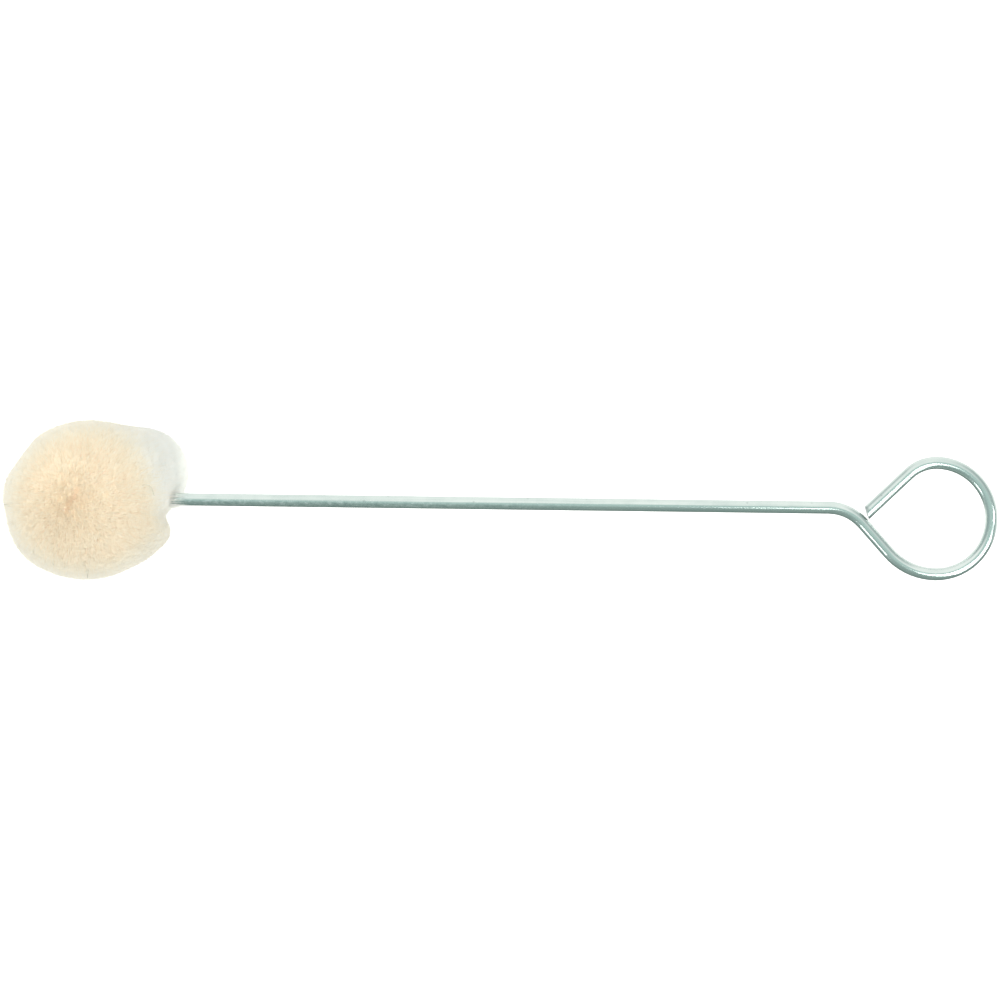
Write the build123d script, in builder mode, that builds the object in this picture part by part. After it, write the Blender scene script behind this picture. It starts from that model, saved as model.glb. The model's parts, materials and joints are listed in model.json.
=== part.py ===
from build123d import *
import math
import os

os.makedirs("parts", exist_ok=True)

# Wool dauber: a sheepskin ball on a bent wire handle with a finger ring.
# All sizes are millimetres and degrees. Each piece is drawn in the dauber's own
# frame: x along the shank from the ball to the ring, y across the flat of the
# ring, z square to it, with the zero at the ball's middle. At the end the whole
# dauber is laid down on its ball and the far end of its ring.

# Handle wire
wire_d = 2.0              # plated steel wire
ring_x = 135.55           # ball's middle to the ring's middle
ring_y = -1.52            # ring's middle, off the shank's line
ring_r = 8.91             # ring's mean radius, far side
heel_r = 10.2             # easier bend from the ring into the long leg
toe_r = 6.5               # tighter bend from the ring into the cut leg
leg_angle = 47.8          # long leg, below the shank's line
cut_leg_angle = 43.7      # cut leg, above the shank's line
cut_gap = 0.16            # the cut leg stops this short of the long leg
cut_slant = 25.0          # sheared end, off square
neck_r = 7.45             # bend where the shank turns into the long leg

# Eye at the wire's inner end, and the staple through it
eye_x = -1.3
eye_turn = 275.0
eye_air = 0.45            # round the staple's leg in the eye
staple_d = 0.7
staple_span = 3.9         # leg to leg
staple_angle = 64.5       # crown's direction, from the shank's line
clinch = 1.3              # length bent over behind each leg

# Sheepskin hide, folded once over the eye
hide_t = 1.0
wire_air = 0.15           # from the wire to each layer
hide_low, hide_high = -5.2, 5.8
fold_x = -5.0             # middle of the fold
taper_x = 6.0             # where the sides begin to draw in
tongue_x = 8.0
tongue_w = 5.0            # the tails' width under the binding
tail_x = 11.3             # the tails' ends
glue_margin = 0.7         # from the hide's sides to the cement

# Thread binding round the tails
bind_x, bind_len, bind_t = 8.5, 2.2, 0.6
bind_corner = 1.2
bind_gap = 0.05

# Pile
ball_r = 12.8
ball_x = 0.3              # the widest place
tip_x = -13.76
rear_x, rear_r = 13.3, 4.6
mouth_x = 12.4            # where the pile draws in to the wire
lobe_x, lobe_y, lobe_z = 10.6, 4.1, -6.5
lobe_len, lobe_r = 5.6, 5.4
clear = 0.05              # air between a hard piece and the pile
fit = 0.02                # air round the staple and on the cement's faces
through = 20.0            # depth of a cut or a blank that passes the whole ball

wire_r = wire_d / 2
staple_r = staple_d / 2
eye_r = wire_r + eye_air + staple_r
half_gap = wire_r + wire_air
skin = half_gap + hide_t  # outside of the folded hide, from the middle plane


def turned(degrees):
    return Vector(math.cos(math.radians(degrees)), math.sin(math.radians(degrees)))


def arc(centre, radius, start, sweep_by):
    return CenterArc(centre, radius, start, sweep_by)


# The handle's line, from the cut leg round the ring to the free end of the eye.
ring_c = Vector(ring_x, ring_y)
up = Vector(0, 1)
toe_c = ring_c + up * (ring_r - toe_r)
heel_c = ring_c - up * (ring_r - heel_r)
heel_end = heel_c + turned(-90 - leg_angle) * heel_r
corner_x = heel_end.X + heel_end.Y / math.tan(math.radians(leg_angle))
neck_run = neck_r * math.tan(math.radians(leg_angle / 2))
neck_start = Vector(corner_x - neck_run, 0)
neck_end = Vector(corner_x, 0) + turned(-leg_angle) * neck_run
eye_c = Vector(eye_x, eye_r)

# The cut leg runs on until its inner corner is cut_gap from the long leg.
toe_out = turned(90 + cut_leg_angle)
toe_end = toe_c + toe_out * toe_r
cut_dir = turned(180 + cut_leg_angle)
leg_out = turned(90 - leg_angle)
inner_corner = toe_end - toe_out * wire_r - neck_end
cut_leg_len = (inner_corner.dot(leg_out) - wire_r - cut_gap) / -cut_dir.dot(leg_out)
cut_end = toe_end + cut_dir * cut_leg_len
slant = math.radians(cut_slant)
cut_face = Plane(
    origin=cut_end - cut_dir * (wire_r * math.tan(slant)),
    x_dir=(0, 0, 1),
    z_dir=turned(180 + cut_leg_angle - cut_slant),
)


def handle_line():
    arc(toe_c, toe_r, 90 + cut_leg_angle, -cut_leg_angle)
    arc(ring_c, ring_r, 90, -180)
    arc(heel_c, heel_r, -90, -leg_angle)
    Line(heel_end, neck_end)
    arc((neck_start.X, -neck_r), neck_r, 90 - leg_angle, leg_angle)
    Line(neck_start, (eye_x, 0))
    arc(eye_c, eye_r, -90, -eye_turn)


with BuildPart() as handle_wire:
    # The cut leg is sheared on a slant, so that its inner side reaches further. It
    # is sheared before the rest is joined to it, so that the shear can't bite the neck.
    with BuildLine() as cut_leg:
        Line(cut_end, toe_end)
    with BuildSketch(Plane(origin=cut_leg.line @ 0, z_dir=cut_leg.line % 0)):
        Circle(wire_r)
    sweep()
    with BuildSketch(cut_face):
        Rectangle(2 * wire_d, 2 * wire_d)
    extrude(amount=wire_d, mode=Mode.SUBTRACT)
    with BuildLine() as line:
        handle_line()
    with BuildSketch(Plane(origin=line.line @ 0, z_dir=line.line % 0)):
        Circle(wire_r)
    sweep()
handle_wire.part.label = "handle_wire"


def hide_plan():
    half = tongue_w / 2
    with BuildSketch() as plan:
        with BuildLine():
            Polyline(
                (fold_x - skin - 1, hide_low),
                (taper_x, hide_low),
                (tongue_x, -half),
                (tail_x, -half),
                (tail_x, half),
                (tongue_x, half),
                (taper_x, hide_high),
                (fold_x - skin - 1, hide_high),
                close=True,
            )
        make_face()
    return plan.sketch


def fold_outline(radius):
    with BuildSketch(Plane.XZ) as side:
        with BuildLine():
            Line((tail_x, radius), (fold_x, radius))
            arc((fold_x, 0), radius, 90, 180)
            Line((fold_x, -radius), (tail_x, -radius))
            Line((tail_x, -radius), (tail_x, radius))
        make_face()
    return side.sketch


staple_dir = turned(staple_angle)
leg_a = eye_c
leg_b = eye_c - staple_dir * staple_span
crown_z = skin + fit + staple_r
staple_plane = Plane(
    origin=(leg_a + leg_b) * 0.5,
    x_dir=staple_dir,
    z_dir=staple_dir.cross(Vector(0, 0, 1)),
)


half_span = staple_span / 2
with BuildPart() as eye_staple:
    with BuildLine(staple_plane) as run:
        FilletPolyline(
            (half_span - clinch, -crown_z),
            (half_span, -crown_z),
            (half_span, crown_z),
            (-half_span, crown_z),
            (-half_span, -crown_z),
            (-half_span + clinch, -crown_z),
            radius=staple_r + fit,
        )
    with BuildSketch(Plane(origin=run.line @ 0, z_dir=run.line % 0)):
        Circle(staple_r)
    sweep()
eye_staple.part.label = "eye_staple"

with BuildPart() as hide_strip:
    extrude(fold_outline(skin), amount=through, both=True)
    extrude(fold_outline(half_gap), amount=through, both=True, mode=Mode.SUBTRACT)
    extrude(hide_plan(), amount=through, both=True, mode=Mode.INTERSECT)
    with BuildSketch():
        with Locations(leg_a, leg_b):
            Circle(staple_r + fit)
    extrude(amount=through, both=True, mode=Mode.SUBTRACT)
hide_strip.part.label = "hide_strip"

# Dried cement between the layers, outside the wire and its eye.
with BuildPart() as glue_fill:
    with BuildSketch():
        with Locations((fold_x, hide_low + glue_margin)):
            Rectangle(
                taper_x - fold_x,
                hide_high - hide_low - 2 * glue_margin,
                align=(Align.MIN, Align.MIN),
            )
        with Locations(eye_c):
            Circle(eye_r + wire_r + clear, mode=Mode.SUBTRACT)
        with Locations((eye_x, 0)):
            Rectangle(
                through,
                wire_d + 2 * clear,
                align=(Align.MIN, Align.CENTER),
                mode=Mode.SUBTRACT,
            )
        with Locations(leg_b):
            Circle(staple_r + fit, mode=Mode.SUBTRACT)
    extrude(amount=half_gap - fit, both=True)
glue_fill.part.label = "glue_fill"

bind_y = tongue_w / 2 + bind_gap
bind_z = skin + bind_gap
with BuildPart() as neck_binding:
    with BuildSketch(Plane.YZ.offset(bind_x)):
        RectangleRounded(2 * (bind_y + bind_t), 2 * (bind_z + bind_t), bind_corner)
        Rectangle(2 * bind_y, 2 * bind_z, mode=Mode.SUBTRACT)
    extrude(amount=bind_len)
neck_binding.part.label = "neck_binding"

# The room that the pile leaves for the pieces inside it.
with BuildPart() as core_room:
    extrude(fold_outline(skin), amount=through, both=True)
    extrude(hide_plan(), amount=through, both=True, mode=Mode.INTERSECT)
    with BuildSketch(Plane.YZ.offset(bind_x - clear)):
        Rectangle(
            2 * (bind_y + bind_t + clear),
            2 * (bind_z + bind_t + clear),
        )
    extrude(amount=bind_len + 2 * clear)
    with BuildSketch(Plane.YZ):
        Circle(wire_r + clear)
    extrude(amount=rear_x + through)
    with BuildSketch(staple_plane):
        Rectangle(
            staple_span + staple_d + 2 * clear,
            2 * crown_z + staple_d + 2 * clear,
        )
    extrude(amount=staple_r + clear, both=True)


def ball():
    with BuildSketch(Plane.XZ) as outline:
        with BuildLine():
            EllipticalCenterArc(
                (ball_x, 0), ball_x - tip_x, ball_r, start_angle=90, arc_size=90
            )
            Spline(
                (ball_x, ball_r),
                (rear_x, rear_r),
                tangents=[(1, 0), (0.02, -1)],
                tangent_scalars=[1.15, 0.75],
            )
            Spline(
                (rear_x, rear_r),
                (mouth_x, wire_r / 2),
                tangents=[(0.02, -1), (-0.7, -0.7)],
            )
            Line((mouth_x, wire_r / 2), (mouth_x, 0))
            Line((mouth_x, 0), (tip_x, 0))
        make_face()
    return outline.sketch


with BuildPart() as fleece_front:
    revolve(ball(), axis=Axis.X)
    split(bisect_by=Plane.XY, keep=Keep.TOP)
    add(core_room.part, mode=Mode.SUBTRACT)
fleece_front.part.label = "fleece_front"

with BuildPart() as fleece_back:
    revolve(ball(), axis=Axis.X)
    split(bisect_by=Plane.XY, keep=Keep.BOTTOM)
    add(core_room.part, mode=Mode.SUBTRACT)
fleece_back.part.label = "fleece_back"

# The back layer's tail of pile, which stands out past the ball beside the wire.
lobe_plane = Plane(origin=(lobe_x, lobe_y, lobe_z), x_dir=(1, 0, 0), z_dir=(0, -1, 0))
with BuildPart() as fleece_lobe:
    with BuildSketch(lobe_plane):
        with BuildLine():
            EllipticalCenterArc((0, 0), lobe_len, lobe_r, start_angle=0, arc_size=180)
            Line((-lobe_len, 0), (lobe_len, 0))
        make_face()
    revolve(axis=Axis(lobe_plane.origin, lobe_plane.x_dir))
    revolve(ball(), axis=Axis.X, mode=Mode.SUBTRACT)
fleece_lobe.part.label = "fleece_lobe"

pieces = [
    handle_wire.part,
    hide_strip.part,
    eye_staple.part,
    glue_fill.part,
    neck_binding.part,
    fleece_front.part,
    fleece_back.part,
    fleece_lobe.part,
]

# The dauber is laid down: it rests on the pile and on the far end of its ring.
reach = ring_x + ring_r - ball_x
tilt = math.degrees(math.asin((ball_r - wire_r) / reach))
for _ in range(3):
    lay = Rotation(0, tilt, 0)
    ball_low = (lay * fleece_back.part).bounding_box().min.Z
    ring_low = (lay * handle_wire.part).bounding_box().min.Z
    tilt += math.degrees((ring_low - ball_low) / reach)

lay = Rotation(0, tilt, 0)
boxes = [(lay * piece).bounding_box() for piece in pieces]
low = [min(getattr(box.min, k) for box in boxes) for k in "XYZ"]
high = [max(getattr(box.max, k) for box in boxes) for k in "XYZ"]
place = Pos(-(low[0] + high[0]) / 2, -(low[1] + high[1]) / 2, -low[2]) * lay

for piece in pieces:
    laid = piece.moved(place)
    laid.label = piece.label
    export_step(laid, f"parts/{piece.label}.step")
    box = laid.bounding_box()
    print(piece.label, len(laid.solids()), round(laid.volume, 1), box.min, box.max)

print("tilt", round(tilt, 3), "ball middle", place.position)
print("ring middle", (place * Pos(ring_x, ring_y, 0)).position)
print("neck bend starts", neck_start.X, "cut leg", round(cut_leg_len, 2))
print("size", [round(b - a, 2) for a, b in zip(low, high)])
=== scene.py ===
# %% [markdown]
# # A wool dauber in Blender
#
# The object is a ball of sheepskin wool on a plated wire handle that ends in a finger ring.
# Its working shape was made in CAD and packed as a fixed frame. This lesson gives it its looks:
# the bright drawn wire, and above all the wool, which CAD holds only as smooth solids.
#
# Everything is in metres and in the frame's own axes: X runs from the ball to the ring and Z is
# up. The tool lies on its wool and on the far end of its ring.

import json
import math

import bmesh
import bpy
import numpy as np
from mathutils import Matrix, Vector, noise


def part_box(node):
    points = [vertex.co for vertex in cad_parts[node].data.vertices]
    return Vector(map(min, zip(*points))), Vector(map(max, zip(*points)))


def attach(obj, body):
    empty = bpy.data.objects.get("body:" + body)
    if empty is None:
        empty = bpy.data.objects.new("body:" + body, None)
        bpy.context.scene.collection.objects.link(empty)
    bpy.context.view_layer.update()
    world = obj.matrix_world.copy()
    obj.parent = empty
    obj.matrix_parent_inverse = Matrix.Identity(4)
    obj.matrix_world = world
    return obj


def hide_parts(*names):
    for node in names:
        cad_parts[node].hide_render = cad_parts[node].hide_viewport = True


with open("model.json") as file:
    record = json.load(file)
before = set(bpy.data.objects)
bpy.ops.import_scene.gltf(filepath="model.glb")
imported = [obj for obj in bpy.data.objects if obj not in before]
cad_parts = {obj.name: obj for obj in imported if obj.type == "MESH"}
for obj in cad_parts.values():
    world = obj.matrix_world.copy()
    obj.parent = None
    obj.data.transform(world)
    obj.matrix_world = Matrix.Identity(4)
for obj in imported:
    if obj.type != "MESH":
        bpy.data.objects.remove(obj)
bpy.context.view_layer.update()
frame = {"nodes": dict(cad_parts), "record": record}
MM = 0.001
nodes = frame["nodes"]
print("CAD nodes:", sorted(nodes))

# %% [markdown]
# ## Where the tool's own landmarks are
#
# The shank's axis and the middle of the ball are the two things that every wool step needs.
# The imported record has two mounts: one on the shank, which gives its axis, and one in the finger
# ring, which gives the ring's middle. The ball's middle lies a little way back from the nose of
# the front half, at the height where the two halves of the wool overlap.

# %% Read the shank's axis and the ball's middle
front_low, front_high = (np.array(v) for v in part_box("fleece_front"))
back_low = np.array(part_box("fleece_back")[0])
lobe_low, lobe_high = (np.array(v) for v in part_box("fleece_lobe"))
staple_low, staple_high = (np.array(v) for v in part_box("eye_staple"))
NOSE_TO_MIDDLE = 13.72 * MM
WIRE_RADIUS = 1.0 * MM
ball_middle = np.array(
    [
        front_low[0] + NOSE_TO_MIDDLE,
        (front_low[1] + front_high[1]) / 2,
        (back_low[2] + front_high[2]) / 2,
    ]
)
mounts = {mount["name"]: mount for mount in frame["record"]["mounts"]}
ring_middle = np.array(mounts["finger_ring"]["pos_m"])
shank_run = np.array(mounts["shank"]["axis"])
print("ball middle, mm:", np.round(ball_middle / MM, 2))
print("shank runs along:", np.round(shank_run, 4))

# %% [markdown]
# ## The camera comes first
#
# The tool is looked at from straight above, as a catalogue shows a small tool laid on a light
# table. A long lens from far away keeps the ball, which is nearer to the lens, from swelling
# beside the ring. The small roll sets the shank running slightly down to the right.

# %% Place the camera straight above
LENS = 400.0
SENSOR = 36.0
FRAME_WIDTH = 159.45 * MM
CAMERA_ROLL = math.radians(0.74)
VIEW_MIDDLE = Vector((-0.25 * MM, 0.54 * MM, 6.0 * MM))
distance = FRAME_WIDTH * LENS / SENSOR
camera_data = bpy.data.cameras.new("top_camera")
camera_data.lens = LENS
camera_data.sensor_width = SENSOR
camera_data.clip_end = 20.0
camera = bpy.data.objects.new("top_camera", camera_data)
camera.location = VIEW_MIDDLE + Vector((0, 0, distance))
camera.rotation_euler = (0, 0, CAMERA_ROLL)
bpy.context.scene.collection.objects.link(camera)
bpy.context.scene.camera = camera
bpy.context.scene.view_settings.view_transform = "Standard"
print("camera height, m:", round(camera.location.z, 3))

# %% [markdown]
# ## Shader maths as sums
#
# Every finish below is a handful of masks and colours. `Signal` wraps one socket, so that
# `1 - mask` or `mask * 0.3` adds the Math node for it. `Tree.node` adds any other node: its
# settings go in first, because some of them change which sockets the node has, and then its
# values and links. The few nodes that nearly every finish uses have a short way of their own.

# %% A socket that can be added and multiplied
class Signal:
    """One output socket of a node tree."""

    def __init__(self, tree, socket):
        self.tree = tree
        self.socket = socket

    def sum(self, operation, first, second):
        made = self.tree.node("ShaderNodeMath", {"operation": operation}, {0: first, 1: second})
        return made["Value"]

    def __add__(self, other):
        return self.sum("ADD", self, other)

    def __radd__(self, other):
        return self.sum("ADD", other, self)

    def __sub__(self, other):
        return self.sum("SUBTRACT", self, other)

    def __rsub__(self, other):
        return self.sum("SUBTRACT", other, self)

    def __mul__(self, other):
        return self.sum("MULTIPLY", self, other)

    def __rmul__(self, other):
        return self.sum("MULTIPLY", other, self)


# %% A node tree that takes settings first, then values and links
class Tree:
    """The nodes of one material or of the world."""

    def __init__(self, owner):
        owner.use_nodes = True
        self.nodes = owner.node_tree.nodes
        self.links = owner.node_tree.links
        self.nodes.clear()

    def node(self, kind, settings=None, values=None):
        made = self.nodes.new(kind)
        for name, setting in (settings or {}).items():
            if name == "stops":
                self.set_stops(made.color_ramp, setting)
            else:
                setattr(made, name, setting)
        for name, value in (values or {}).items():
            socket = made.inputs[name]
            if isinstance(value, Signal):
                self.links.new(value.socket, socket)
            else:
                socket.default_value = value
        return {o.name: Signal(self, o) for o in made.outputs if o.enabled}

    def set_stops(self, ramp, stops):
        while len(ramp.elements) < len(stops):
            ramp.elements.new(0.5)
        for element, (place, colour) in zip(ramp.elements, stops):
            element.position = place
            element.color = (*colour, 1.0)

    def range(self, value, low, high, to_low=0.0, to_high=1.0):
        values = {"Value": value, "From Min": low, "From Max": high}
        values |= {"To Min": to_low, "To Max": to_high}
        settings = {"interpolation_type": "SMOOTHSTEP", "clamp": True}
        return self.node("ShaderNodeMapRange", settings, values)["Result"]

    def blend(self, mask, first, second, way="MIX"):
        settings = {"data_type": "RGBA", "blend_type": way}
        made = self.node("ShaderNodeMix", settings, {0: mask, 6: first, 7: second})
        return made["Result"]

    def place(self):
        return self.node("ShaderNodeTexCoord")["Object"]

    def clouds(self, place, scale, detail, roughness=0.5):
        values = {"Vector": place, "Scale": scale, "Detail": detail, "Roughness": roughness}
        return self.node("ShaderNodeTexNoise", None, values)["Fac"]

    def bump(self, strength, distance, height):
        values = {"Strength": strength, "Distance": distance, "Height": height}
        return self.node("ShaderNodeBump", None, values)["Normal"]

    def ramp(self, value, stops):
        return self.node("ShaderNodeValToRGB", {"stops": stops}, {"Fac": value})["Color"]


# %% Start a finish and close it with one surface shader
def rgb(red, green, blue):
    return (red, green, blue, 1.0)


def new_finish(name):
    material = bpy.data.materials.new(name)
    return material, Tree(material)


def surface(tree, values):
    shader = tree.node("ShaderNodeBsdfPrincipled", None, values)["BSDF"]
    tree.node("ShaderNodeOutputMaterial", None, {"Surface": shader})


def wear(piece, material):
    piece.data.materials.clear()
    piece.data.materials.append(material)


# %% [markdown]
# ## A white tent to lay the tool in
#
# Small bright tools are shot in a tent of white cloth, which lights wool from every side and
# leaves hardly any shadow. The tent here is one turned sheet: a flat floor that curves up into a
# dome. It glows evenly, and its cloth also takes a little of the lamp light, so that only the
# spot right under the tool goes slightly grey.
#
# A plain white tent would leave the wire with nothing to reflect, so the sheet is hidden from
# mirror rays. They see the world instead, which holds the cards of a real set: a white one
# along the far side, a grey-green room overhead, grey ones at both ends, and a dark one low on
# the near side.

# %% Turn the tent's profile into a sheet
TENT_REACH = 3.0
TENT_HEIGHT = 3.2
FLOOR_REACH = 2.3
TENT_STEPS = 96
PROFILE_STEPS = 28


def tent_profile():
    """Distance from the middle and height, from the floor's middle to the top."""
    points = [(0.0, 0.0), (0.3, 0.0), (0.8, 0.0), (FLOOR_REACH, 0.0)]
    for step in range(1, PROFILE_STEPS + 1):
        turn = math.pi / 2 * step / PROFILE_STEPS
        bulge = FLOOR_REACH + (TENT_REACH - FLOOR_REACH) * math.sin(2 * turn)
        reach = bulge * math.cos(turn) if step < PROFILE_STEPS else 0.0
        points.append((reach, TENT_HEIGHT * math.sin(turn)))
    return points


def turned_sheet(name, profile, steps):
    made = bmesh.new()
    rows = []
    for reach, height in profile:
        if reach == 0.0:
            rows.append([made.verts.new((0, 0, height))])
            continue
        row = []
        for k in range(steps):
            turn = 2 * math.pi * k / steps
            row.append(made.verts.new((reach * math.cos(turn), reach * math.sin(turn), height)))
        rows.append(row)
    for inner, outer in zip(rows, rows[1:]):
        for k in range(steps):
            after = (k + 1) % steps
            corners = [inner[k % len(inner)], outer[k % len(outer)]]
            corners += [outer[after % len(outer)], inner[after % len(inner)]]
            made.faces.new(list(dict.fromkeys(corners)))
    mesh = bpy.data.meshes.new(name)
    made.to_mesh(mesh)
    made.free()
    for face in mesh.polygons:
        face.use_smooth = True
    piece = bpy.data.objects.new(name, mesh)
    bpy.context.scene.collection.objects.link(piece)
    return piece


tent = turned_sheet("white_tent", tent_profile(), TENT_STEPS)
print("tent faces:", len(tent.data.polygons))

# %% Let the cloth glow and keep it out of mirror rays
CLOTH_GLOW = 1.36
GLOW_COLOUR = rgb(1.0, 1.0, 0.995)
CLOTH_COLOUR = rgb(0.16, 0.16, 0.155)

tent_cloth, tree = new_finish("tent_cloth")
glow = tree.node("ShaderNodeEmission", None, {"Color": GLOW_COLOUR, "Strength": CLOTH_GLOW})
matt = tree.node("ShaderNodeBsdfDiffuse", None, {"Color": CLOTH_COLOUR})
both = tree.node("ShaderNodeAddShader", None, {0: glow["Emission"], 1: matt["BSDF"]})
tree.node("ShaderNodeOutputMaterial", None, {"Surface": both["Shader"]})
tent_cloth.cycles.emission_sampling = "NONE"
wear(tent, tent_cloth)
tent.visible_glossy = False
print("tent glow:", CLOTH_GLOW)

# %% Paint the cards that the wire mirrors
ROOM_NEAR = rgb(0.19, 0.275, 0.265)
ROOM_OVER = rgb(0.45, 0.60, 0.585)
WHITE_CARD = rgb(1.02, 1.02, 1.02)
DARK_CARD = rgb(0.15, 0.215, 0.20)
END_CARDS = rgb(0.30, 0.385, 0.39)

world = bpy.data.worlds.new("card_set")
bpy.context.scene.world = world
tree = Tree(world)
way = tree.node("ShaderNodeTexCoord")["Generated"]
axis = tree.node("ShaderNodeSeparateXYZ", None, {0: way})
overhead = tree.blend(tree.range(axis["Y"], -1.0, 0.05), ROOM_NEAR, ROOM_OVER)
with_card = tree.blend(tree.range(axis["Y"], 0.10, 0.34), overhead, WHITE_CARD)
endways = tree.node("ShaderNodeMath", {"operation": "ABSOLUTE"}, {0: axis["X"]})["Value"]
with_ends = tree.blend(tree.range(endways, 0.30, 0.75) * 0.9, with_card, END_CARDS)
low_side = tree.blend(tree.range(axis["Y"], -0.05, -0.45), WHITE_CARD, DARK_CARD)
cards = tree.blend(tree.range(axis["Z"], 0.02, -0.22), with_ends, low_side)
shone = tree.node("ShaderNodeBackground", None, {"Color": cards, "Strength": 1.0})
tree.node("ShaderNodeOutputWorld", None, {"Surface": shone["Background"]})
world.cycles.sampling_method = "NONE"
print("card set nodes:", len(world.node_tree.nodes))

# %% [markdown]
# ## The lamps
#
# The tent alone would light the wool from all sides alike. One wide warm lamp above the far left
# gives the ball a gentle form. The small lamps close round the finger ring make the hard white
# streaks that run along bright wire there and fade out along the shank. They are near, so each
# is mirrored only by the bends that face it. They light no wool.

# %% Hang the wide lamp, and the small ones near the ring
WIDE_POWER = 10.5
NEAR_LAMPS = {
    # name: (place in mm, width and depth in mm, power in watts)
    "strip_lamp": ((124, -80, 200), (76, 46), 0.055),
    "front_right_lamp": ((235, -135, 170), (200, 170), 0.50),
    "right_lamp": ((345, 8, 215), (45, 100), 0.09),
    "front_left_lamp": ((-185, -235, 200), (90, 90), 0.12),
}


def hang_lamp(name, place, target, size, power, colour):
    data = bpy.data.lights.new(name, "AREA")
    data.shape = "RECTANGLE"
    data.size, data.size_y = size
    data.energy = power
    data.color = colour
    lamp = bpy.data.objects.new(name, data)
    lamp.location = place
    aim = Vector(target) - Vector(place)
    lamp.rotation_euler = aim.to_track_quat("-Z", "Y").to_euler()
    bpy.context.scene.collection.objects.link(lamp)
    lamp.visible_camera = False
    print(name, "power, W:", power)
    return lamp


wide_lamp = hang_lamp(
    "wide_lamp", (-0.25, 0.25, 1.3), (-0.06, 0, 0), (0.8, 0.8), WIDE_POWER, (1.0, 0.97, 0.92)
)
wide_lamp.visible_glossy = False
for name, (place, size, power) in NEAR_LAMPS.items():
    place = [v * MM for v in place]
    size = [v * MM for v in size]
    near_lamp = hang_lamp(name, place, ring_middle, size, power, (1, 1, 1))
    near_lamp.visible_diffuse = False

# %% [markdown]
# ## The plated wire
#
# The handle is one piece of mild steel wire, drawn through a die, bent, and zinc plated. The CAD
# sweep already has its true shape, so it stays and gets a finish. Drawing leaves fine streaks
# that follow the wire round every bend. The wire lies in one plane, so a pattern that changes
# fast across that plane and slowly along it follows the wire by itself: no map is needed. The
# plating adds a cloudy bloom, a grey-green cast and a few small pits. The near side of the shank
# is scuffed in relief where the wool is pushed on and wiped. Over those scuffs its colour has
# lighter and darker patches, which are painted highlight specks and painted shade. All of it
# fades toward the ring. At the sheared end the colour is darker over the last fraction of a
# millimetre: partly the bruised burr of the cut, partly painted shade where the end meets the
# neck.

# %% Plate the wire
PLATE_BRIGHT = rgb(0.735, 0.815, 0.77)
PLATE_DULL = rgb(0.60, 0.70, 0.66)
STREAKS_ACROSS = 7.0 / MM
STREAKS_ALONG = 0.05 / MM
SCUFFS_ACROSS = 3.5 / MM
SCUFFS_ALONG = 1.1 / MM
SCUFF_RELIEF = 3.0
STREAK_RELIEF = 0.24
PIT_RELIEF = 0.2
HANDLED_FROM, HANDLED_FULL = 25 * MM, -15 * MM
# The darkened sheared end: partly the burr of the cut, partly painted shade where the end meets
# the neck.
BURR_SHADE_START, BURR_SHADE_FULL = 1.32 * MM, 1.02 * MM
PIT_GREY = rgb(0.34, 0.40, 0.38)
# Scuff colours: near white for painted highlight specks, dark grey-green for painted shade, laid
# over real scuffs.
SCUFF_AND_GLINT_LIGHT = rgb(0.97, 1.0, 0.98)
SCUFF_AND_SHADE_DARK = rgb(0.34, 0.44, 0.43)
BURR_AND_SHADE_GREY = rgb(0.36, 0.43, 0.41)
SHEARED_END = (58.41 * MM, -0.76 * MM, 2.63 * MM)
slope = math.atan2(-shank_run[2], shank_run[0])

plated_wire, tree = new_finish("plated_wire")
place = tree.place()
level = tree.node(
    "ShaderNodeMapping", {"vector_type": "POINT"}, {"Vector": place, "Rotation": (0, -slope, 0)}
)["Vector"]
stretched = tree.node(
    "ShaderNodeMapping",
    {"vector_type": "POINT"},
    {"Vector": level, "Scale": (STREAKS_ALONG, STREAKS_ALONG, STREAKS_ACROSS)},
)["Vector"]
shorter = tree.node(
    "ShaderNodeMapping",
    {"vector_type": "POINT"},
    {"Vector": level, "Scale": (SCUFFS_ALONG, SCUFFS_ALONG, SCUFFS_ACROSS)},
)["Vector"]
streaks = tree.clouds(stretched, 1.0, 2.0)
bloom = tree.clouds(place, 0.35 / MM, 3.0)
pits = tree.node(
    "ShaderNodeTexVoronoi", {"feature": "F1"}, {"Vector": place, "Scale": 0.55 / MM}
)["Distance"]
scuffs = tree.clouds(shorter, 1.0, 3.0, 0.6)
across = tree.node("ShaderNodeSeparateXYZ", None, {0: place})
handled = tree.range(across["X"], HANDLED_FROM, HANDLED_FULL)
# Near side of the shank by the wool: real scuff relief, plus painted highlight specks and painted
# shade in the colour.
scuff_and_painted_light_zone = handled * tree.range(across["Y"], 0.10 * MM, -0.20 * MM)
scuff_and_glint_mask = tree.range(scuffs, 0.52, 0.64) * scuff_and_painted_light_zone
scuff_and_shade_mask = tree.range(scuffs, 0.48, 0.37) * scuff_and_painted_light_zone
streak_mask = tree.range(streaks, 0.32, 0.68)
bloom_mask = tree.range(bloom, 0.38, 0.66)
pit_mask = tree.range(pits, 0.13, 0.05)
plate = tree.blend(streak_mask * 0.55 + bloom_mask * 0.35, PLATE_BRIGHT, PLATE_DULL)
plate = tree.blend(pit_mask * 0.45, plate, PIT_GREY)
plate = tree.blend(scuff_and_glint_mask * 0.6, plate, SCUFF_AND_GLINT_LIGHT)
plate = tree.blend(scuff_and_shade_mask * 0.35, plate, SCUFF_AND_SHADE_DARK)
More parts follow.
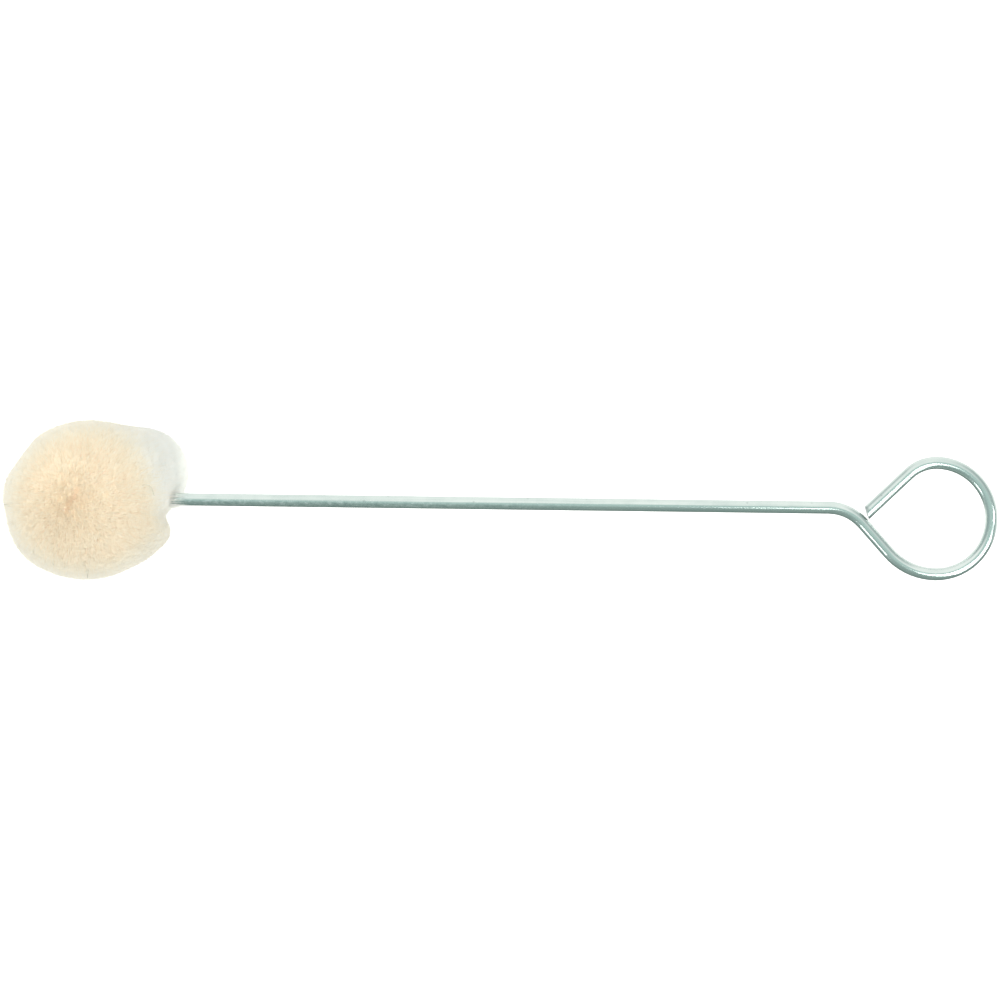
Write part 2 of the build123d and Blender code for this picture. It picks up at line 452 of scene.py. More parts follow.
# Darker over the last fraction of a millimetre at the sheared end: the burr, plus painted shade.
from_end = tree.node("ShaderNodeVectorMath", {"operation": "DISTANCE"}, {0: place, 1: SHEARED_END})
burr_and_shade_mask = tree.range(from_end["Value"], BURR_SHADE_START, BURR_SHADE_FULL)
plate = tree.blend(burr_and_shade_mask * 0.8, plate, BURR_AND_SHADE_GREY)
rough = 0.11 + streak_mask * 0.07 + bloom_mask * 0.05 + pit_mask * 0.2 + burr_and_shade_mask * 0.15
relief = streaks * STREAK_RELIEF + scuffs * scuff_and_painted_light_zone * SCUFF_RELIEF - pit_mask * PIT_RELIEF
grooves = tree.bump(0.5, 0.02 * MM, relief)
surface(
    tree,
    {"Base Color": plate, "Metallic": 0.93, "Roughness": rough, "Normal": grooves},
)
wear(nodes["handle_wire"], plated_wire)
print("wire faces:", len(nodes["handle_wire"].data.polygons))

# %% [markdown]
# ## What the wool hides
#
# Four pieces are inside the ball: the folded strip of sheepskin leather, the staple through the
# wire's eye, the dried cement round it, and the thread binding at the neck. They keep their CAD
# shapes. Each still gets a real finish, because a part from a library may be opened up.

# %% Leather, with its flesh side nap
hide_leather, tree = new_finish("hide_leather")
place = tree.place()
nap = tree.clouds(place, 4.0 / MM, 6.0)
stain = tree.clouds(place, 0.3 / MM, 2.0)
tan = tree.blend(tree.range(stain, 0.35, 0.65), rgb(0.66, 0.45, 0.31), rgb(0.76, 0.58, 0.42))
tan = tree.blend(tree.range(nap, 0.45, 0.75) * 0.5, tan, rgb(0.84, 0.70, 0.55))
relief = tree.bump(0.5, 0.05 * MM, nap)
surface(tree, {"Base Color": tan, "Roughness": 0.75 + nap * 0.2, "Normal": relief})
wear(nodes["hide_strip"], hide_leather)
print("hide faces:", len(nodes["hide_strip"].data.polygons))

# %% Staple steel, dried cement and binding thread
staple_steel, tree = new_finish("staple_steel")
place = tree.place()
scuff = tree.clouds(place, 2.5 / MM, 5.0)
steel = tree.blend(scuff, rgb(0.62, 0.62, 0.60), rgb(0.48, 0.49, 0.49))
surface(tree, {"Base Color": steel, "Metallic": 1.0, "Roughness": 0.2 + scuff * 0.25})
wear(nodes["eye_staple"], staple_steel)

dried_cement, tree = new_finish("dried_cement")
place = tree.place()
blots = tree.clouds(place, 1.2 / MM, 4.0)
amber = tree.blend(tree.range(blots, 0.3, 0.7), rgb(0.62, 0.42, 0.18), rgb(0.78, 0.62, 0.36))
skin = tree.bump(0.4, 0.08 * MM, blots)
surface(tree, {"Base Color": amber, "Roughness": 0.3 + blots * 0.25, "Normal": skin})
wear(nodes["glue_fill"], dried_cement)

binding_thread, tree = new_finish("binding_thread")
place = tree.place()
turns = tree.node(
    "ShaderNodeTexWave",
    {"wave_type": "BANDS", "bands_direction": "X"},
    {"Vector": place, "Scale": 0.55 / MM, "Distortion": 0.4, "Detail": 2.0},
)["Fac"]
thread = tree.blend(turns, rgb(0.55, 0.50, 0.42), rgb(0.86, 0.82, 0.72))
lay = tree.bump(0.8, 0.12 * MM, turns)
surface(tree, {"Base Color": thread, "Roughness": 0.85 - turns * 0.15, "Normal": lay})
wear(nodes["neck_binding"], binding_thread)
print("finishes so far:", sorted(m.name for m in bpy.data.materials))

# %% [markdown]
# ## The shape that the wool is trimmed to
#
# A dauber's ball is clipped with shears after it is sewn, so its outline is smooth but not a
# true sphere. Rather than sculpt it, its reach from the middle is written as a sphere plus a few
# soft rises and dips, each at a place round the ball. Every fibre is cut to this surface, and
# the dense body under the fibres is the same shape, smaller.
#
# The far half of the wool also has a tuft that stands out past the ball beside the wire. It is a
# flattened round of its own.

# %% Write the ball's reach as a few rises and dips
def unit(vectors):
    return vectors / np.maximum(np.linalg.norm(vectors, axis=1, keepdims=True), 1e-12)


BALL_REACH = 12.85 * MM
CROWN_REACH = 12.78 * MM
ball_heart = ball_middle + np.array([0, -0.27 * MM, 0])
# where it is, in degrees round from +X, how far it stands out, and how wide it is in degrees
SHAPE_OF_BALL = {
    "nose": (172, 0.85 * MM, 16),
    "left_cheek": (215, 1.05 * MM, 30),
    "crest": (127, 0.25 * MM, 12),
    "shoulder": (36, 2.5 * MM, 24),
    "rear_corner": (336, 1.45 * MM, 14),
    "rear_cheek": (316, 0.45 * MM, 11),
    "neck_dip": (350, -1.1 * MM, 6),
}


def ball_reach(way):
    """How far the trimmed wool reaches from the ball's heart, for unit directions."""
    round_turn = np.degrees(np.arctan2(way[:, 1], way[:, 0]))
    flatness = 1 - way[:, 2] ** 2
    reach = BALL_REACH * flatness + CROWN_REACH * (1 - flatness)
    for turn, rise, spread in SHAPE_OF_BALL.values():
        away = (round_turn - turn + 180) % 360 - 180
        reach = reach + rise * flatness**2 * np.exp(-((away / spread) ** 2))
    return reach


lobe_heart = ball_middle + np.array([9.0, 4.2, 0]) * MM
lobe_heart[2] = (lobe_low[2] + lobe_high[2]) / 2 + 1.2 * MM
LOBE_REACH = np.array([6.85, 6.85, 5.9]) * MM


def lobe_reach(way):
    """The same for the tuft, from its own heart."""
    return 1 / np.linalg.norm(way / LOBE_REACH, axis=1)


print("reach to the nose, mm:", round(float(ball_reach(np.array([[-1.0, 0, 0]]))[0]) / MM, 2))

# %% [markdown]
# ## Where the ball and the tuft run together
#
# Wool has no sharp inner corner: where two rounds of it meet, the fibres fill the valley. The
# usual sculptor's sum for that is a smooth minimum. Each tip is asked how far it is from either
# round, and in the valley between them it is let out until it reaches the joined surface.

# %% Let tips out into the valley
VALLEY_WIDTH = 4.5 * MM
MOST_LET_OUT = 2.4 * MM
VALLEY_ROUNDS = 5


def gap_to(points, heart, reach):
    arm = points - heart
    return np.linalg.norm(arm, axis=1) - reach(unit(arm))


def ball_share(ball_gap, tuft_gap):
    """1 where the ball's surface rules, 0 where the tuft's does, and a mix in the valley."""
    return np.clip(0.5 + 0.5 * (tuft_gap - ball_gap) / VALLEY_WIDTH, 0, 1)


def out_from_wool(points):
    """The way straight out of the joined surface, used as the wool's shading normal."""
    ball_gap = gap_to(points, ball_heart, ball_reach)
    tuft_gap = gap_to(points, lobe_heart, lobe_reach)
    share = ball_share(ball_gap, tuft_gap)[:, None]
    return unit(unit(points - ball_heart) * share + unit(points - lobe_heart) * (1 - share))


def let_out(tips, way):
    """How far each tip moves along its way to reach the joined surface."""
    moved = np.zeros(len(tips))
    for _ in range(VALLEY_ROUNDS):
        points = tips + way * moved[:, None]
        ball_gap = gap_to(points, ball_heart, ball_reach)
        tuft_gap = gap_to(points, lobe_heart, lobe_reach)
        share = ball_share(ball_gap, tuft_gap)
        joined = tuft_gap + (ball_gap - tuft_gap) * share - VALLEY_WIDTH * share * (1 - share)
        moved = np.clip(moved - np.minimum(joined, 0), 0, MOST_LET_OUT)
    return moved


# %% [markdown]
# ## The dense body under the fibres
#
# Down by the hide, the wool is so dense that no single fibre is seen. The body starts from the
# CAD half, which already has the room inside it for the hide, the staple and the wire. A voxel
# remesh gives it an even skin. Its inner walls stay where they are, and its outer skin is drawn
# in under the trimmed surface, so that the visible outline is all fibre.

# %% Copy a CAD half, remesh it and draw its skin in
SKIN_DEPTH = 1.30 * MM
VOXEL = 0.36 * MM
INNER_ROOM = 8.2 * MM
OUTER_SKIN = 11.0 * MM


def mesh_points(mesh):
    points = np.empty(len(mesh.vertices) * 3)
    mesh.vertices.foreach_get("co", points)
    return points.reshape(-1, 3)


def smooth_step(value, low, high):
    share = np.clip((value - low) / (high - low), 0, 1)
    return share * share * (3 - 2 * share)


def remeshed_copy(name, node):
    piece = bpy.data.objects.new(name, nodes[node].data.copy())
    bpy.context.scene.collection.objects.link(piece)
    remesh = piece.modifiers.new("even_skin", "REMESH")
    remesh.mode = "VOXEL"
    remesh.voxel_size = VOXEL
    remesh.use_smooth_shade = True
    bpy.context.view_layer.update()
    seen = piece.evaluated_get(bpy.context.evaluated_depsgraph_get())
    even = bpy.data.meshes.new_from_object(seen)
    piece.modifiers.clear()
    piece.data = even
    even.name = name
    return piece


# %% [markdown]
# ## The parting over the staple
#
# The staple pulls the hide in, and the wool parts over it in a short slanting crease. The crease
# is barely cut in, so the tips along it, and on a patch beside it where a dimple is painted, take
# a warm, slightly pink tone: painted shade for the crease's depth, in the colour of the warm lower
# wool. Its place comes from the staple.

# %% Measure how far a point is from the parting
PARTING_TURN = math.radians(60.5)
PARTING_HALF = 1.9 * MM
parting_middle = np.array([staple_low[0] + staple_high[0], staple_low[1] + staple_high[1]]) / 2
parting_middle = parting_middle + np.array([-0.1, -0.4]) * MM
parting_run = np.array([math.cos(PARTING_TURN), math.sin(PARTING_TURN)])
# The middle of a painted dimple: a patch of painted shade with no hollow cut.
DIMPLE_SHADE_MIDDLE = parting_middle + np.array([1.75, 0.05]) * MM


def from_parting(points):
    """Distance in plan from the parting."""
    flat = points[:, :2] - parting_middle
    along = np.clip(flat @ parting_run, -PARTING_HALF, PARTING_HALF)
    out = flat - along[:, None] * parting_run
    return np.linalg.norm(out, axis=1)


print("parting middle, mm:", np.round(parting_middle / MM, 2))

# %% Draw the bodies of the two halves in
PARTING_DEPTH = 0.05 * MM
CREASE_WIDTH = 0.5 * MM


def wool_body(name, node):
    """The dense wool of one half."""
    piece = remeshed_copy(name, node)
    points = mesh_points(piece.data)
    arm = points - ball_heart
    far = np.linalg.norm(arm, axis=1)
    way = unit(arm)
    aim = ball_reach(way) - SKIN_DEPTH
    if node == "fleece_front":
        gap = from_parting(points)
        aim = aim - PARTING_DEPTH * np.exp(-((gap / CREASE_WIDTH) ** 2)) * (way[:, 2] > 0.5)
    share = smooth_step(far, INNER_ROOM, OUTER_SKIN)
    skin = far + (aim - far) * share
    moved = ball_heart + way * np.minimum(skin, far)[:, None]
    piece.data.vertices.foreach_set("co", moved.ravel())
    piece.data.update()
    print(name, "faces:", len(piece.data.polygons))
    return piece


front_body = wool_body("wool_body_front", "fleece_front")
back_body = wool_body("wool_body_back", "fleece_back")

# %% [markdown]
# ## The tuft's body
#
# The CAD tuft is cut off flat where it meets the far half, and a remesh would show that cut. So
# the tuft gets a closed body of its own: a fine sphere pushed out to just under the tuft's
# trimmed surface, with a slight swell from noise.

# %% Shape the tuft's body as a lump of its own
LUMP_ROUNDS = 5
LUMP_DEPTH = 1.2 * MM
LUMP_SIZE = 3.0 * MM
LUMP_HEIGHT = 0.25 * MM


def tuft_lump(name):
    """A closed lumpy body inside the tuft's trimmed surface."""
    made = bmesh.new()
    bmesh.ops.create_icosphere(made, subdivisions=LUMP_ROUNDS, radius=1.0)
    ways = unit(np.array([v.co for v in made.verts]))
    reach = lobe_reach(ways) - LUMP_DEPTH
    for vertex, way, far in zip(made.verts, ways, reach):
        swell = LUMP_HEIGHT * noise.noise(Vector(way * far / LUMP_SIZE))
        vertex.co = lobe_heart + way * (far + swell)
    mesh = bpy.data.meshes.new(name)
    made.to_mesh(mesh)
    made.free()
    mesh.polygons.foreach_set("use_smooth", np.ones(len(mesh.polygons), bool))
    piece = bpy.data.objects.new(name, mesh)
    bpy.context.scene.collection.objects.link(piece)
    print(name, "faces:", len(mesh.polygons))
    return piece


lobe_body = tuft_lump("wool_body_tuft")

# %% [markdown]
# ## Wool colours
#
# Sheepskin wool is cream, warmer and yellower near the hide and paler at its tips. Here and there
# a bundle is stained pinkish tan. The dense body takes its colour from two sizes of noise.

# %% Colour the dense body
wool_deep, tree = new_finish("wool_deep")
place = tree.place()
bundles = tree.clouds(place, 1.6 / MM, 5.0)
patches = tree.clouds(place, 0.25 / MM, 2.0)
deep = tree.ramp(
    bundles, [(0.3, (0.93, 0.76, 0.55)), (0.5, (0.97, 0.85, 0.66)), (0.7, (0.98, 0.90, 0.76))]
)
deep = tree.blend(tree.range(patches, 0.4, 0.65) * 0.35, deep, rgb(0.97, 0.91, 0.78))
tufting = tree.bump(0.6, 0.15 * MM, bundles)
surface(
    tree,
    {"Base Color": deep, "Roughness": 0.95 - bundles * 0.1, "Normal": tufting},
)
for piece in (front_body, back_body, lobe_body):
    wear(piece, wool_deep)
print("wool_deep nodes:", len(wool_deep.node_tree.nodes))

# %% [markdown]
# ## Fibres as real strands
#
# Hair curves look the part but aren't a mesh, and a part has to export as one. So each visible
# fibre is a closed three-sided spike of two lengths, ten triangles in all. They grow from the
# skin of the dense body and are cut where the shears cut them.
#
# Each fibre's colour is laid out on its own thin strip of a map: across the map goes its tone,
# from bluish white to pinkish tan, and up the map it goes from root to tip. The finish reads
# nothing but that map, so the colours also bake exactly, however many fibres share a strip.

# %% Build many spikes as one mesh
ROOT_WIDTH = 0.058 * MM
WAIST_WIDTH = 0.045 * MM
WAIST_AT = 0.5
STRIP = 2.2 / 256
CORNERS = 3
OWN_SIDE = 0.3


def strand_mesh(name, root, waist, tip, tone, girth=1.0):
    """One closed spike per root, with its tone and its length on the map."""
    count = len(root)
    run = unit(tip - root)
    side = unit(np.cross(run, np.where(np.abs(run[:, 2:]) < 0.8, [[0, 0, 1.0]], [[1.0, 0, 0]])))
    other = np.cross(run, side)
    points = np.empty((count, 2 * CORNERS + 1, 3))
    for k in range(CORNERS):
        turn = 2 * math.pi * k / CORNERS
        out = side * math.cos(turn) + other * math.sin(turn)
        points[:, k] = root + out * ROOT_WIDTH * girth
        points[:, CORNERS + k] = waist + out * WAIST_WIDTH * girth
    points[:, -1] = tip
    faces = [(2, 1, 0)]
    for k in range(CORNERS):
        after = (k + 1) % CORNERS
        faces.append((k, after, CORNERS + after))
        faces.append((k, CORNERS + after, CORNERS + k))
        faces.append((CORNERS + k, CORNERS + after, 2 * CORNERS))
    faces = np.array(faces)
    left, right, middle = -STRIP / 2, STRIP / 2, 0.0
    spread = [[(left, 0.0), (right, 0.0), (middle, 0.06)]]
    for k in range(CORNERS):
        spread.append([(left, 0.0), (right, 0.0), (right, WAIST_AT)])
        spread.append([(left, 0.0), (right, WAIST_AT), (left, WAIST_AT)])
        spread.append([(left, WAIST_AT), (right, WAIST_AT), (middle, 1.0)])
    spread = np.array(spread)
    all_faces = faces[None] + (np.arange(count) * (2 * CORNERS + 1))[:, None, None]
    on_map = np.broadcast_to(spread, (count, *spread.shape)).copy()
    on_map[..., 0] += np.clip(tone, STRIP, 1 - STRIP)[:, None, None]
    mesh = bpy.data.meshes.new(name)
    mesh.vertices.add(count * (2 * CORNERS + 1))
    mesh.vertices.foreach_set("co", points.ravel())
    corner_count = all_faces.size
    mesh.loops.add(corner_count)
    mesh.loops.foreach_set("vertex_index", all_faces.ravel())
    mesh.polygons.add(corner_count // 3)
    mesh.polygons.foreach_set("loop_start", np.arange(0, corner_count, 3))
    mesh.polygons.foreach_set("use_smooth", np.ones(corner_count // 3, bool))
    layer = mesh.uv_layers.new(name="OFBake")
    layer.uv.foreach_set("vector", on_map.ravel())
    mesh.update(calc_edges=True)
    middle_line = np.repeat((root + tip) / 2, 2 * CORNERS + 1, axis=0)
    flat_points = points.reshape(-1, 3)
    facing = out_from_wool(flat_points) + unit(flat_points - middle_line) * OWN_SIDE
    mesh.normals_split_custom_set_from_vertices(unit(facing))
    piece = bpy.data.objects.new(name, mesh)
    bpy.context.scene.collection.objects.link(piece)
    print(name, "fibres:", count, "faces:", len(mesh.polygons))
    return piece


# %% The fibre finish reads only that map
wool_fibre, tree = new_finish("wool_fibre")
on_map = tree.node("ShaderNodeUVMap", {"uv_map": "OFBake"})["UV"]
share = tree.node("ShaderNodeSeparateXYZ", None, {0: on_map})
# The bluish-white end of the ramp carries the tuft's painted backlight; the warm middle and end
# carry stained bundles and the painted shade of the crown and the parting.
TONES = [
    (0.00, (0.94, 0.99, 0.945)),
    (0.22, (0.965, 0.975, 0.905)),
    (0.42, (0.965, 0.93, 0.785)),
    (0.62, (0.98, 0.885, 0.685)),
    (0.80, (0.98, 0.82, 0.60)),
    (1.00, (0.95, 0.73, 0.54)),
]
tip_colour = tree.ramp(share["X"], TONES)
root_colour = tree.blend(1.0, tip_colour, rgb(0.99, 0.94, 0.87), "MULTIPLY")
fibre = tree.blend(tree.range(share["Y"], 0.05, 0.75), root_colour, tip_colour)
surface(
    tree,
    {"Base Color": fibre, "Roughness": 0.8, "Specular IOR Level": 0.25, "Sheen Weight": 0.15},
)
print("wool_fibre nodes:", len(wool_fibre.node_tree.nodes))

# %% [markdown]
# ## Growing the wool
#
# Roots are spread evenly over the outer skin of a body. Each fibre points away from the hide
# below the parting, so the fibres fan out as they do on the real strip, and it leans a little
# with its neighbours, which gathers them into small locks. Its tip is moved onto the trimmed
# surface, but one in twenty is left a little longer. Where a fibre would pass through the wire,
# it is laid round it.
#
# Both sources of chance are given a seed. Blender's vector noise would otherwise start from the
# clock, and the wool would fall into other locks each time.

# %% Scatter roots over a body's outer skin
DRAW_SEED = 20
LOCK_SEED = 11
draw = np.random.default_rng(DRAW_SEED)
noise.seed_set(LOCK_SEED)


def scatter(body, heart, least_far, count):
    """Points spread by area over the faces that look outward."""
    mesh = body.data
    mesh.calc_loop_triangles()
    corners = np.empty(len(mesh.loop_triangles) * 3, int)
    mesh.loop_triangles.foreach_get("vertices", corners)
    triangles = mesh_points(mesh)[corners.reshape(-1, 3)]
    across = np.cross(triangles[:, 1] - triangles[:, 0], triangles[:, 2] - triangles[:, 0])
    middles = triangles.mean(1) - heart
    outward = (unit(across) * unit(middles)).sum(1)
    wanted = (outward > 0.35) & (np.linalg.norm(middles, axis=1) > least_far)
    area = np.linalg.norm(across, axis=1) * wanted
    picked = draw.choice(len(area), count, p=area / area.sum())
    first, second = draw.random((2, count, 1))
    fold = first + second > 1
    first, second = np.where(fold, 1 - first, first), np.where(fold, 1 - second, second)
    base = triangles[picked]
    return base[:, 0] + first * (base[:, 1] - base[:, 0]) + second * (base[:, 2] - base[:, 0])


def lean_of(points, size, amount):
    """A sideways lean that neighbours share."""
    return np.array([noise.noise_vector(Vector(p / size)) for p in points]) * amount


# %% Keep fibres off the wire and off the floor
WIRE_CLEAR = WIRE_RADIUS + 0.09 * MM
FLOOR_CLEAR = 0.04 * MM


def laid_clear(points):
    arm = points - ball_middle
    along = arm @ shank_run
    out = arm - along[:, None] * shank_run
    gap = np.linalg.norm(out, axis=1)
    near = (gap < WIRE_CLEAR) & (along > 0)
    pushed = points + unit(out) * (WIRE_CLEAR - gap)[:, None]
    points = np.where(near[:, None], pushed, points)
    points[:, 2] = np.maximum(points[:, 2], FLOOR_CLEAR)
    return points


# %% Grow the wool of one half
HIDE_LIFT = 0.8 * MM
OUTSIDE_ONLY = 9.0 * MM
LOCK_SIZE = 1.1 * MM
LOCK_LEAN = 0.10
STRAY_LEAN = 0.10
ROOT_SUNK = 0.3 * MM
TRIM_SCATTER = 0.022
# Painted light: the sides keep a paler tone as painted backlight through the thin rim, and the
# crown is shifted warmer as painted shade deep in the pile.
SIDE_TONE = 0.42
CROWN_SHADE_WARMTH = 0.22
TONE_SCATTER = 0.08
LOCK_TONE = 0.25
SPECK_SHARE = 0.09
SPECK_TONE = 0.22
# Painted shade along the parting and over the painted dimple beside it.
PARTING_WIDTH = 0.55 * MM
PARTING_SHADE_TONE = 0.22
DIMPLE_SHADE_WIDTH = 0.8 * MM
DIMPLE_SHADE_TONE = 0.12
LOOSE_SHARE = 0.05
LOOSE_LENGTH = 0.7 * MM
TUFT_FEATHER = 0.09
# The tuft's bluish white is painted backlight through the thin tuft.
TUFT_BACKLIGHT_TONE = 0.12
TUFT_TURN = 28.0
TUFT_SPREAD = 30.0


def toward_tuft(way):
    """1 where the ball's wool runs into the tuft, so that its trim feathers and it takes the
    tuft's painted backlight tone there.
    """
    away = np.degrees(np.arctan2(way[:, 1], way[:, 0])) - TUFT_TURN
    rim = smooth_step(1 - np.abs(way[:, 2]), 0.12, 0.75)
    return rim * np.exp(-((away / TUFT_SPREAD) ** 2))


def grow_half(name, body, up, count):
    """Fibres of one half. up is 1 for the front and -1 for the back."""
    root = scatter(body, ball_heart, OUTSIDE_ONLY, count)
    hide = np.array([parting_middle[0], parting_middle[1], ball_middle[2] + up * HIDE_LIFT])
    way = unit(root - hide)
    lean = lean_of(root, LOCK_SIZE, LOCK_LEAN) + lean_of(root + 0.05, 5 * LOCK_SIZE, LOCK_LEAN)
    stray = draw.normal(0, STRAY_LEAN, (count, 3))
    way = unit(way + lean + stray)
    aim = root + way * SKIN_DEPTH * 1.25
    out = unit(aim - ball_heart)
    beside = toward_tuft(out)
    cut = 1 - (TRIM_SCATTER + TUFT_FEATHER * beside) * draw.random(count) ** 1.5
    whole = ball_reach(out)
    loose = (draw.random(count) < LOOSE_SHARE) * draw.random(count) ** 2 * LOOSE_LENGTH
    depth = (whole + let_out(ball_heart + out * whole[:, None], out)) * cut + loose
    height = np.abs(out[:, 2])
    # Tone by height is painted light: warmer at the crown as painted shade, paler at the sides as
    # painted backlight, and paler still toward the tuft.
    painted_light_tone = SIDE_TONE + CROWN_SHADE_WARMTH * smooth_step(height, 0.2, 0.75)
    painted_light_tone = painted_light_tone + (TUFT_BACKLIGHT_TONE - painted_light_tone) * beside
    tone = painted_light_tone + draw.normal(0, TONE_SCATTER, count) + lean[:, 0] * LOCK_TONE
    speck = (draw.random(count) < SPECK_SHARE) & (height > 0.55)
    tone = tone + speck * SPECK_TONE
    if up > 0:
        gap = from_parting(aim)
        crease_and_shade_mask = np.exp(-((gap / PARTING_WIDTH) ** 2)) * (out[:, 2] > 0.5)
        depth = depth - crease_and_shade_mask * PARTING_DEPTH * 0.7
        dimple_shade_gap = np.linalg.norm(aim[:, :2] - DIMPLE_SHADE_MIDDLE, axis=1)
        dimple_shade_mask = np.exp(-((dimple_shade_gap / DIMPLE_SHADE_WIDTH) ** 2)) * (out[:, 2] > 0.5)
        # Painted shade: a warmer tone along the barely cut parting and over the dimple, which is
        # not cut at all.
        tone = tone + crease_and_shade_mask * PARTING_SHADE_TONE + dimple_shade_mask * DIMPLE_SHADE_TONE
    tip = ball_heart + out * depth[:, None]
    waist = (root + tip) / 2 + lean * 0.25 * MM
    sunk = root - unit(root - ball_heart) * ROOT_SUNK
    return strand_mesh(name, laid_clear(sunk), laid_clear(waist), laid_clear(tip), tone)


PER_PIECE = 19500
wool_front = [grow_half(f"wool_front_{k}", front_body, 1, PER_PIECE) for k in "abc"]
wool_back = [grow_half(f"wool_back_{k}", back_body, -1, PER_PIECE) for k in "ab"]

# %% [markdown]
# ## The tuft beside the wire
#
# The tuft is combed out of the far half, so its fibres lie nearly side by side, pointing away
# from the ball. Its colour is a pale, bluish white: pale as clean tips are, and bluish as painted
# backlight through the thin tuft, fading toward cream on its lower side. Some end a little
# short, as clipped locks do.

# %% Comb the tuft
TUFT_FIBRES = 19500
TUFT_LENGTH = 3.4 * MM
TUFT_SCATTER = 0.05
TUFT_LEAN = 0.30
TUFT_STRAY = 0.12
# How far the tuft's painted backlight fades toward cream on its lower side.
TUFT_BACKLIGHT_FADE_BELOW = 0.18
COMBED = unit(np.array([[0.88, 0.40, -0.25]]))[0]


def grow_tuft(name, body, count):
    root = scatter(body, lobe_heart, 0.0, count)
    lean = lean_of(root, LOCK_SIZE, TUFT_LEAN)
    stray = draw.normal(0, TUFT_STRAY, (count, 3))
    way = unit(COMBED + unit(root - lobe_heart) * 0.9 + lean + stray)
    aim = root + way * TUFT_LENGTH
    out = unit(aim - lobe_heart)
    whole = lobe_reach(out)
    whole = whole + let_out(lobe_heart + out * whole[:, None], out)
    loose = (draw.random(count) < LOOSE_SHARE) * draw.random(count) ** 2 * LOOSE_LENGTH
    depth = whole * (1 - TUFT_SCATTER * draw.random(count) ** 1.5) + loose
    tip = lobe_heart + out * depth[:, None]
    # Painted backlight: the bluish-white tone, fading toward cream on the lower side.
    tone = TUFT_BACKLIGHT_TONE + draw.normal(0, TONE_SCATTER, count) + lean[:, 0] * 0.15
    tone = tone + TUFT_BACKLIGHT_FADE_BELOW * smooth_step(-out[:, 2], -0.35, 0.5)
    waist = (root + tip) / 2 + unit(root - lobe_heart) * 0.25 * MM + lean * 0.2 * MM
    sunk = root - unit(root - lobe_heart) * ROOT_SUNK
    return strand_mesh(name, laid_clear(sunk), laid_clear(waist), laid_clear(tip), tone)


wool_tuft = grow_tuft("wool_tuft", lobe_body, TUFT_FIBRES)

# %% [markdown]
# ## The collar of wool round the wire
#
# Where the wire comes out, the two halves are drawn tight and a thin collar of fibres lies along
# it. It hides the exact place where wool ends and wire begins.

# %% Comb a collar along the wire
COLLAR_FIBRES = 900
COLLAR_GIRTH = 0.55
COLLAR_ROOT = 10.6 * MM
COLLAR_WAIST = 12.3 * MM
COLLAR_END = 12.9 * MM
COLLAR_SCATTER = 3.4 * MM
COLLAR_TONE = 0.20
COLLAR_TONE_SCATTER = 0.12


def comb_collar(name, count):
    turn = draw.uniform(0, 2 * math.pi, count)
    level = np.array([0, 1.0, 0])
    lift = np.cross(shank_run, level)
    out = np.cos(turn)[:, None] * level + np.sin(turn)[:, None] * lift
    wander = draw.random((3, count, 1))
    root = ball_middle + shank_run * COLLAR_ROOT + out * (1.5 + wander[0]) * MM
    waist = ball_middle + shank_run * COLLAR_WAIST + out * (1.15 + 0.3 * wander[1]) * MM
    end = COLLAR_END + COLLAR_SCATTER * wander[2] ** 3
    tip = ball_middle + shank_run * end + out * (1.05 + 0.30 * wander[1]) * MM
    tone = COLLAR_TONE + draw.normal(0, COLLAR_TONE_SCATTER, count)
    root, waist, tip = (laid_clear(points) for points in (root, waist, tip))
    return strand_mesh(name, root, waist, tip, tone, COLLAR_GIRTH)


wool_collar = comb_collar("wool_collar", COLLAR_FIBRES)

# %% [markdown]
# ## Stray hairs
#
# A few dark kemp hairs always come through a natural fleece. They are fine tubes that lie on the
# trimmed surface. Each is given by a few places in plan, in millimetres from the ball's heart,
# and its height comes from the surface.

# %% Lay the stray hairs
HAIR_RADIUS = 0.028 * MM
HAIR_SIDES = 5
HAIR_STEPS = 12
TOP_OF_WOOL = 14.0 * MM
HALVINGS = 30
STRAY_HAIRS = [
    [(-13.6, -0.9), (-12.9, -0.95), (-12.2, -1.05)],
    [(-5.2, -9.6), (-5.25, -10.0), (-5.15, -10.4)],
    [(0.3, -11.0), (0.3, -11.5), (0.1, -12.4)],
    [(8.8, 2.4), (10.0, 2.3), (10.45, 1.5), (10.7, 0.75)],
]


def on_crown(x, y):
    """The point of the trimmed surface above a place in plan, by halving."""
    low, high = 0.0, TOP_OF_WOOL
    for _ in range(HALVINGS):
        middle = (low + high) / 2
        arm = np.array([[x, y, middle]])
        if np.linalg.norm(arm) < ball_reach(unit(arm))[0]:
            low = middle
        else:
            high = middle
    return ball_heart + np.array([x, y, low + HAIR_RADIUS])


def curve_through(places):
    """Points along a smooth run through the places."""
    places = np.array(places)
    turns = np.linspace(0, len(places) - 1, HAIR_STEPS)
    order = min(3, len(places) - 1)
    knots = np.arange(len(places))
    fit = [np.polynomial.Polynomial.fit(knots, places[:, k], order) for k in (0, 1)]
    return np.array([on_crown(fit[0](t) * MM, fit[1](t) * MM) for t in turns])


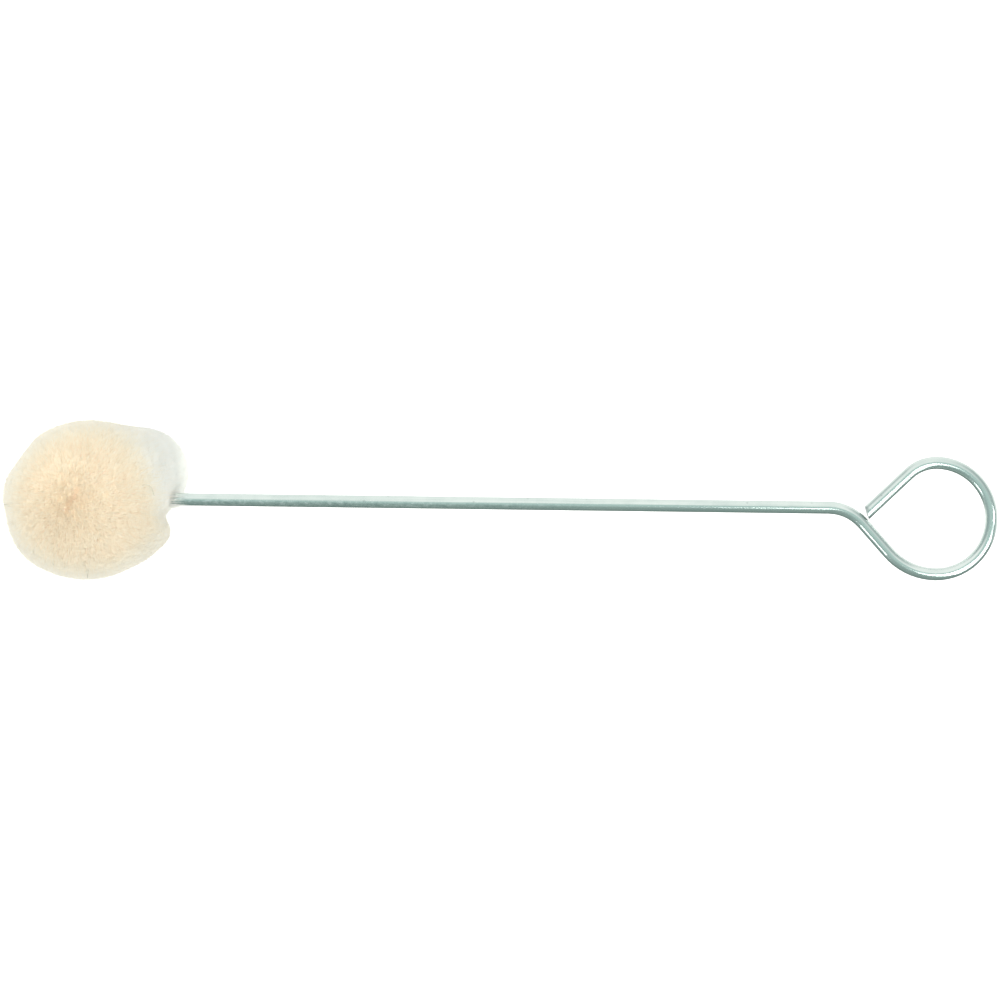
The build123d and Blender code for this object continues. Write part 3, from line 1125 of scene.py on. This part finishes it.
def hair_tubes(name, runs):
    made = bmesh.new()
    for run in runs:
        heading = np.gradient(run, axis=0)
        rows = []
        for spot, ahead in zip(run, unit(heading)):
            side = unit(np.cross(ahead, [0, 0, 1.0])[None])[0]
            lift = np.cross(side, ahead)
            turns = (2 * math.pi * k / HAIR_SIDES for k in range(HAIR_SIDES))
            offsets = [side * math.cos(t) + lift * math.sin(t) for t in turns]
            rows.append([made.verts.new(spot + o * HAIR_RADIUS) for o in offsets])
        for first, second in zip(rows, rows[1:]):
            for k in range(HAIR_SIDES):
                after = (k + 1) % HAIR_SIDES
                made.faces.new((first[k], first[after], second[after], second[k]))
        made.faces.new(rows[0][::-1])
        made.faces.new(rows[-1])
    bmesh.ops.recalc_face_normals(made, faces=made.faces)
    mesh = bpy.data.meshes.new(name)
    made.to_mesh(mesh)
    made.free()
    piece = bpy.data.objects.new(name, mesh)
    bpy.context.scene.collection.objects.link(piece)
    return piece


stray_hairs = hair_tubes("stray_hairs", [curve_through(h) for h in STRAY_HAIRS])
kemp_hair, tree = new_finish("kemp_hair")
place = tree.place()
fade = tree.clouds(place, 0.6 / MM, 2.0)
hair = tree.blend(tree.range(fade, 0.3, 0.7), rgb(0.22, 0.22, 0.17), rgb(0.46, 0.44, 0.34))
surface(tree, {"Base Color": hair, "Roughness": 0.55})
wear(stray_hairs, kemp_hair)
print("stray hairs:", len(STRAY_HAIRS))

# %% [markdown]
# ## Tie every piece to the frame
#
# The tool has no joint, so every piece rides on the one body. The dense bodies and the fibres
# stand for the smooth CAD wool, which is then hidden.

# %% Ride and replace
STANDS_FOR = {
    "fleece_front": [front_body, *wool_front, wool_collar, stray_hairs],
    "fleece_back": [back_body, *wool_back],
    "fleece_lobe": [lobe_body, wool_tuft],
}
for node, pieces in STANDS_FOR.items():
    for piece in pieces:
        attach(piece, "root")
        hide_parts(node)
for piece in (*wool_front, *wool_back, wool_tuft, wool_collar):
    wear(piece, wool_fibre)
print("pieces:", sum(len(p) for p in STANDS_FOR.values()))
